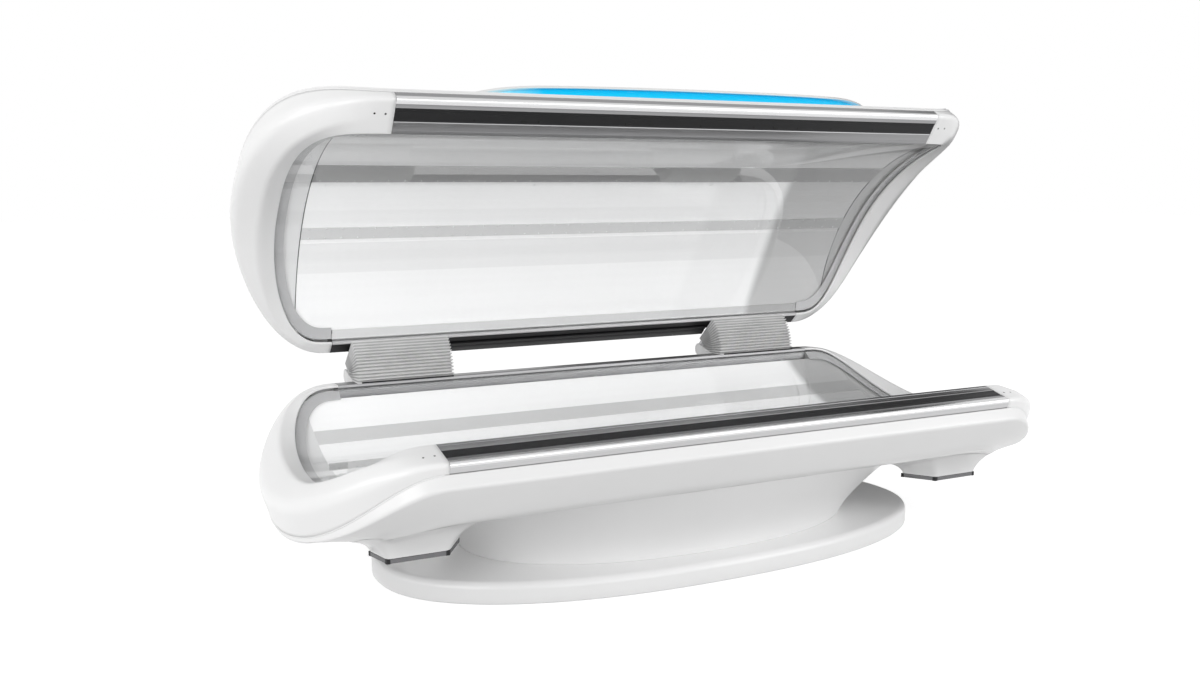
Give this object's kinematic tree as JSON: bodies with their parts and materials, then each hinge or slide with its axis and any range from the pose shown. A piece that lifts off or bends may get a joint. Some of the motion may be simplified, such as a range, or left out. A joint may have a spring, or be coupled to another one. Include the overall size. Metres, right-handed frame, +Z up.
{
  "type": "red light therapy bed",
  "caption": "Clam-shell light therapy bed on an oval pedestal: a curved clear lying sheet in a moulded tub, with a matching lamp canopy hinged at the back under bellows.",
  "frame": {"origin": "middle of the base plate's underside, on the floor", "axes": "+X along the bed, -Y towards the open front, +Y towards the hinges, +Z up"},
  "size_m": [2.2236, 1.125, 1.2829],
  "materials": {
    "gloss_white": "gloss moulded",
    "satin_aluminium": "satin anodised",
    "black_inlay": "matte",
    "grey_bellows": "matte pleated",
    "clear_acrylic": "clear",
    "lamp_panel_white": "satin",
    "zinc_steel": "plated",
    "cyan_light": "translucent"
  },
  "bodies": {
    "bed": {"base_plate": "gloss_white", "pedestal": "gloss_white", "bed_hull": "gloss_white", "bed_front_rail": "satin_aluminium", "bed_inlay_strip": "black_inlay", "bed_back_rail": "satin_aluminium", "bed_acrylic": "clear_acrylic", "bed_end_cap_left": "gloss_white", "bed_end_cap_right": "gloss_white", "bed_lamp_panel_1": "lamp_panel_white", "bed_lamp_panel_2": "lamp_panel_white", "bed_lamp_panel_3": "lamp_panel_white", "bed_rib_1": "satin_aluminium", "bed_rib_2": "satin_aluminium", "bed_rib_3": "satin_aluminium", "hinge_leaf_bed_left": "zinc_steel", "hinge_leaf_bed_right": "zinc_steel", "fan_frame_bed_left": "black_inlay", "fan_frame_bed_right": "black_inlay", "leg_front_left": "gloss_white", "leg_back_left": "gloss_white", "foot_plate_front_left": "zinc_steel", "foot_plate_back_left": "zinc_steel", "hinge_pin_left": "zinc_steel", "bellows_left": "grey_bellows", "driver_left": "zinc_steel", "leg_front_right": "gloss_white", "leg_back_right": "gloss_white", "foot_plate_front_right": "zinc_steel", "foot_plate_back_right": "zinc_steel", "hinge_pin_right": "zinc_steel", "bellows_right": "grey_bellows", "driver_right": "zinc_steel", "mains_inlet": "black_inlay"},
    "canopy": {"canopy_shell": "gloss_white", "top_cowl": "gloss_white", "light_band": "cyan_light", "canopy_front_rail": "satin_aluminium", "canopy_inlay_strip": "black_inlay", "canopy_back_rail": "black_inlay", "canopy_acrylic": "clear_acrylic", "canopy_end_cap_left": "gloss_white", "canopy_end_cap_right": "gloss_white", "canopy_lamp_panel_1": "lamp_panel_white", "canopy_lamp_panel_2": "lamp_panel_white", "canopy_lamp_panel_3": "lamp_panel_white", "canopy_rib_1": "satin_aluminium", "canopy_rib_2": "satin_aluminium", "canopy_rib_3": "satin_aluminium", "hinge_leaf_canopy_left": "zinc_steel", "hinge_leaf_canopy_right": "zinc_steel", "fan_frame_canopy_left": "black_inlay", "fan_frame_canopy_right": "black_inlay"},
    "rotor_bed_left": {"fan_rotor_bed_left": "black_inlay"},
    "rotor_canopy_left": {"fan_rotor_canopy_left": "black_inlay"},
    "rotor_bed_right": {"fan_rotor_bed_right": "black_inlay"},
    "rotor_canopy_right": {"fan_rotor_canopy_right": "black_inlay"}
  },
  "joints": [
    {"name": "canopy_lid", "type": "hinge", "parent": "bed", "child": "canopy", "pos_m": [0, 0.544, 0.4538], "axis": [1, 0, 0], "range_deg": [0, 42.9], "deforming": ["bellows_left", "bellows_right"]},
    {"name": "fan_spin_bed_left", "type": "hinge", "parent": "bed", "child": "rotor_bed_left", "pos_m": [-0.36, -0.02, 0.2475], "axis": [0, 0, 1], "continuous": true},
    {"name": "fan_spin_canopy_left", "type": "hinge", "parent": "canopy", "child": "rotor_canopy_left", "pos_m": [-0.36, 0.28517, 1.00379], "axis": [0, 0.6807, 0.7325], "continuous": true},
    {"name": "fan_spin_bed_right", "type": "hinge", "parent": "bed", "child": "rotor_bed_right", "pos_m": [0.36, -0.02, 0.2475], "axis": [0, 0, 1], "continuous": true},
    {"name": "fan_spin_canopy_right", "type": "hinge", "parent": "canopy", "child": "rotor_canopy_right", "pos_m": [0.36, 0.28517, 1.00379], "axis": [0, 0.6807, 0.7325], "continuous": true}
  ]
}
